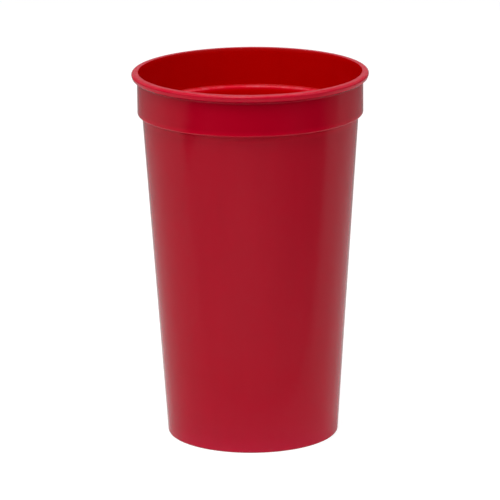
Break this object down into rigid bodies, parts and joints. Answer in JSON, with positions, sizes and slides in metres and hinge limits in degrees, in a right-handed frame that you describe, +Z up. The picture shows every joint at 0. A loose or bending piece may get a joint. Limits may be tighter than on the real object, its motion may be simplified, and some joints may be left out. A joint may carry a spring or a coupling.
{
  "type": "plastic stadium cup",
  "caption": "Tall tapered drinking cup moulded in one piece, with a solid outward rim, a straight collar and a stacking step.",
  "frame": {"origin": "centre of the foot ring, on the surface that the cup stands on", "axes": "+Z up along the cup's axis towards its open mouth; the cup is round, so +X and +Y are alike"},
  "size_m": [0.0929, 0.0928, 0.146],
  "materials": {
    "cup": "satin as-moulded red polypropylene"
  },
  "bodies": {
    "root": {"cup": "cup"}
  },
  "joints": []
}
